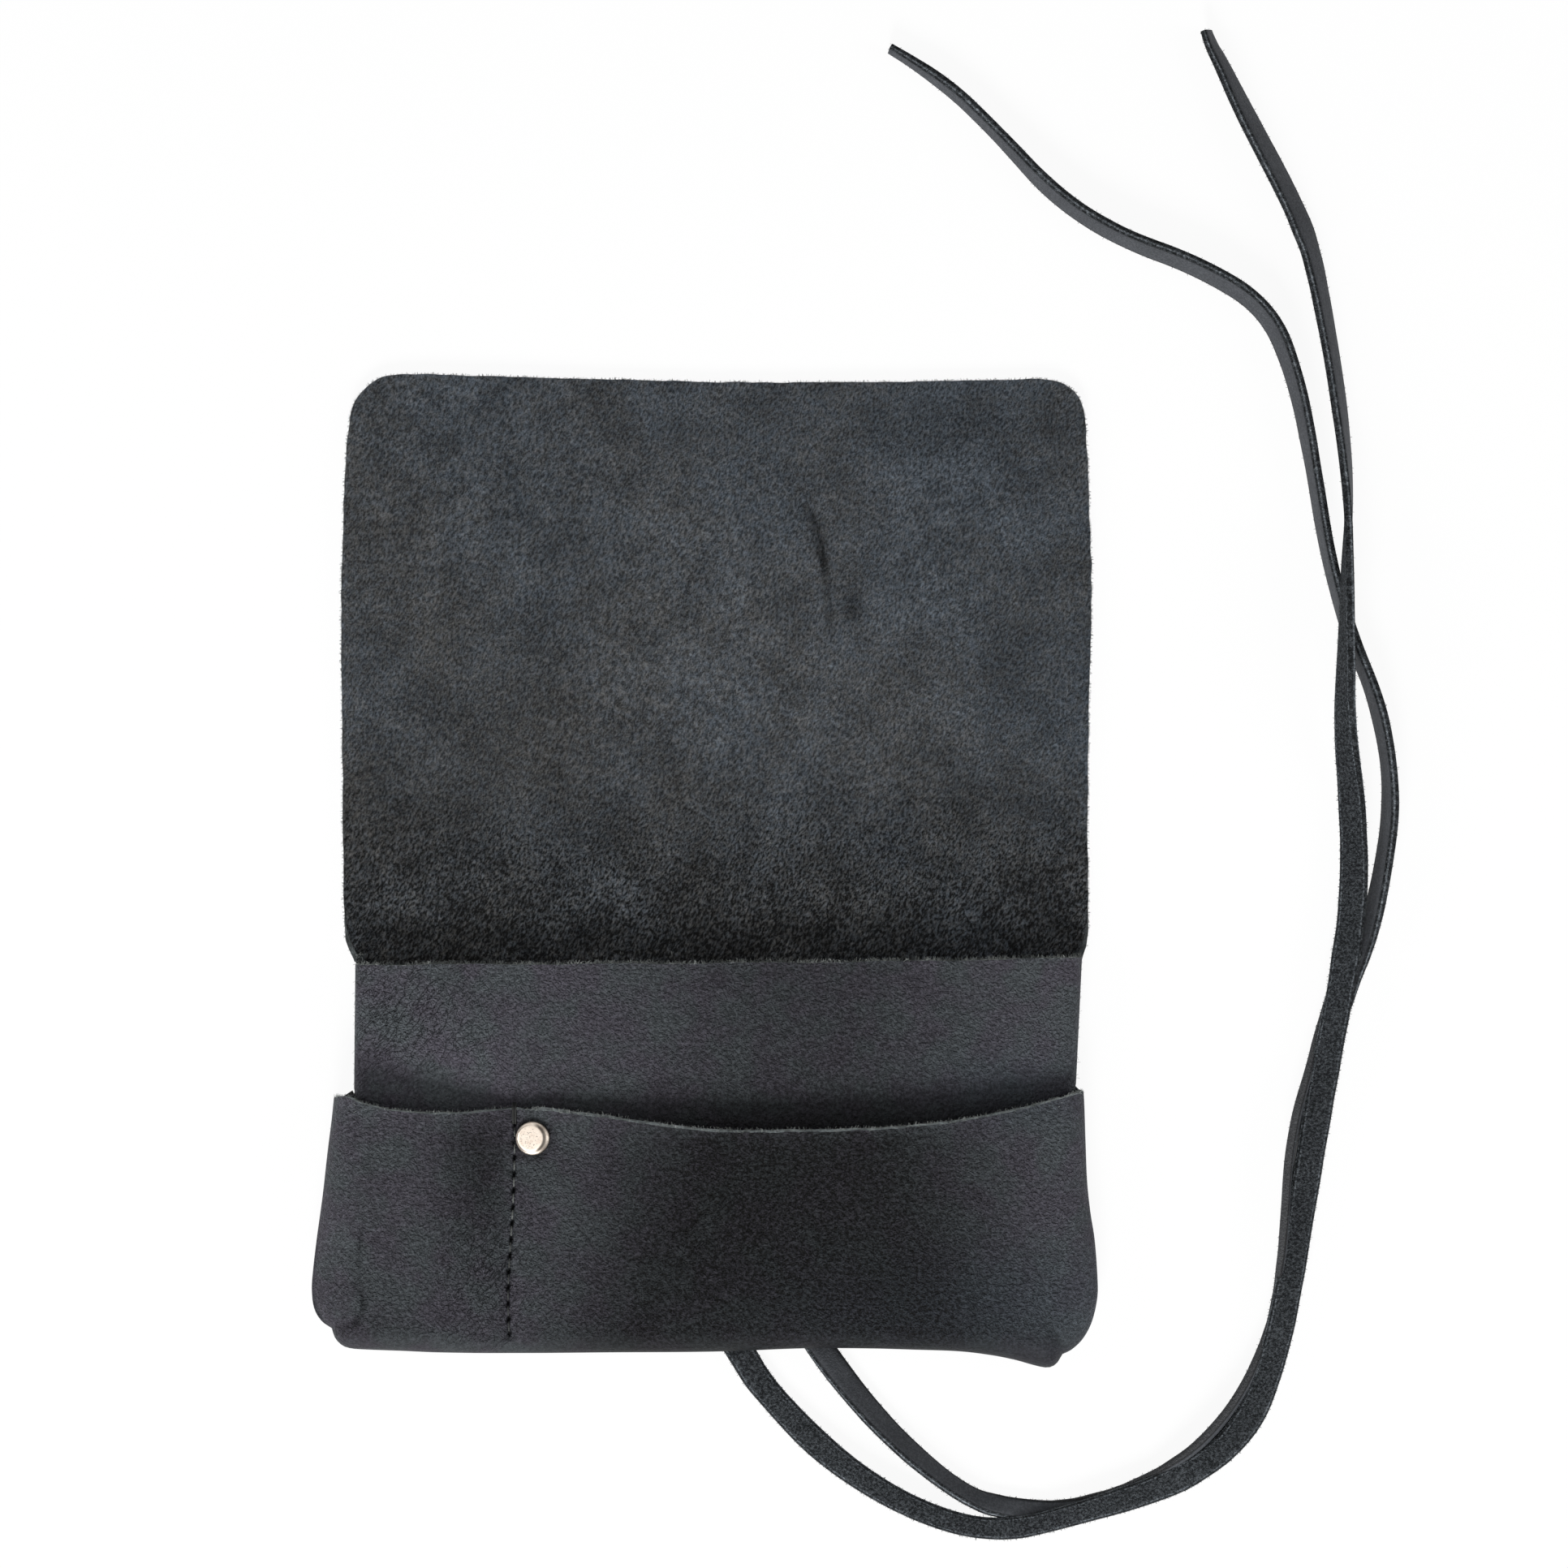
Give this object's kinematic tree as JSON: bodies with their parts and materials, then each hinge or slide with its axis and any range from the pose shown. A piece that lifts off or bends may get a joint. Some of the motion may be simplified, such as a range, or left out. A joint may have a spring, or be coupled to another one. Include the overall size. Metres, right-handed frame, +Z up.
{
  "type": "leather wrap pouch",
  "caption": "Black leather wrap pouch lying open: suede-faced flap, main compartment, stitched outer pocket with a rivet, and two flat laces.",
  "frame": {"origin": "on the table, at mid-width, where the flap's neck meets the back panel", "axes": "+X to the pouch's right, +Y along the open flap towards its free edge, +Z up from the table"},
  "size_m": [0.2639, 0.3662, 0.0156],
  "materials": {
    "smooth_leather": "matte grain",
    "suede_leather": "suede, flesh side up",
    "lace_leather": "matte, cut edges darker",
    "thread": "waxed thread",
    "rivet_metal": "worn nickel with a warm tint"
  },
  "bodies": {
    "pouch": {"back_panel": "smooth_leather", "front_panel": "smooth_leather", "outer_pocket": "smooth_leather", "divider_stitches": "thread", "divider_understitches": "thread", "left_seam_stitches": "thread", "right_seam_stitches": "thread", "rivet_cap": "rivet_metal", "rivet_post": "rivet_metal", "outer_lace": "lace_leather", "inner_lace": "lace_leather", "outer_lace_root": "lace_leather", "inner_lace_root": "lace_leather", "lace_tack_stitches": "thread"},
    "spine": {"fold_spine": "suede_leather"},
    "flap": {"flap": "suede_leather"}
  },
  "joints": [
    {"name": "back_fold", "type": "hinge", "parent": "pouch", "child": "spine", "pos_m": [0, 0.002, 0.0018], "axis": [1, 0, 0], "range_deg": [0, 90]},
    {"name": "flap_fold", "type": "hinge", "parent": "spine", "child": "flap", "pos_m": [0, 0.017, 0.0018], "axis": [1, 0, 0], "range_deg": [0, 90]}
  ],
  "couplings": [
    {"joint": "flap_fold", "follows": "back_fold", "ratio": 1}
  ]
}
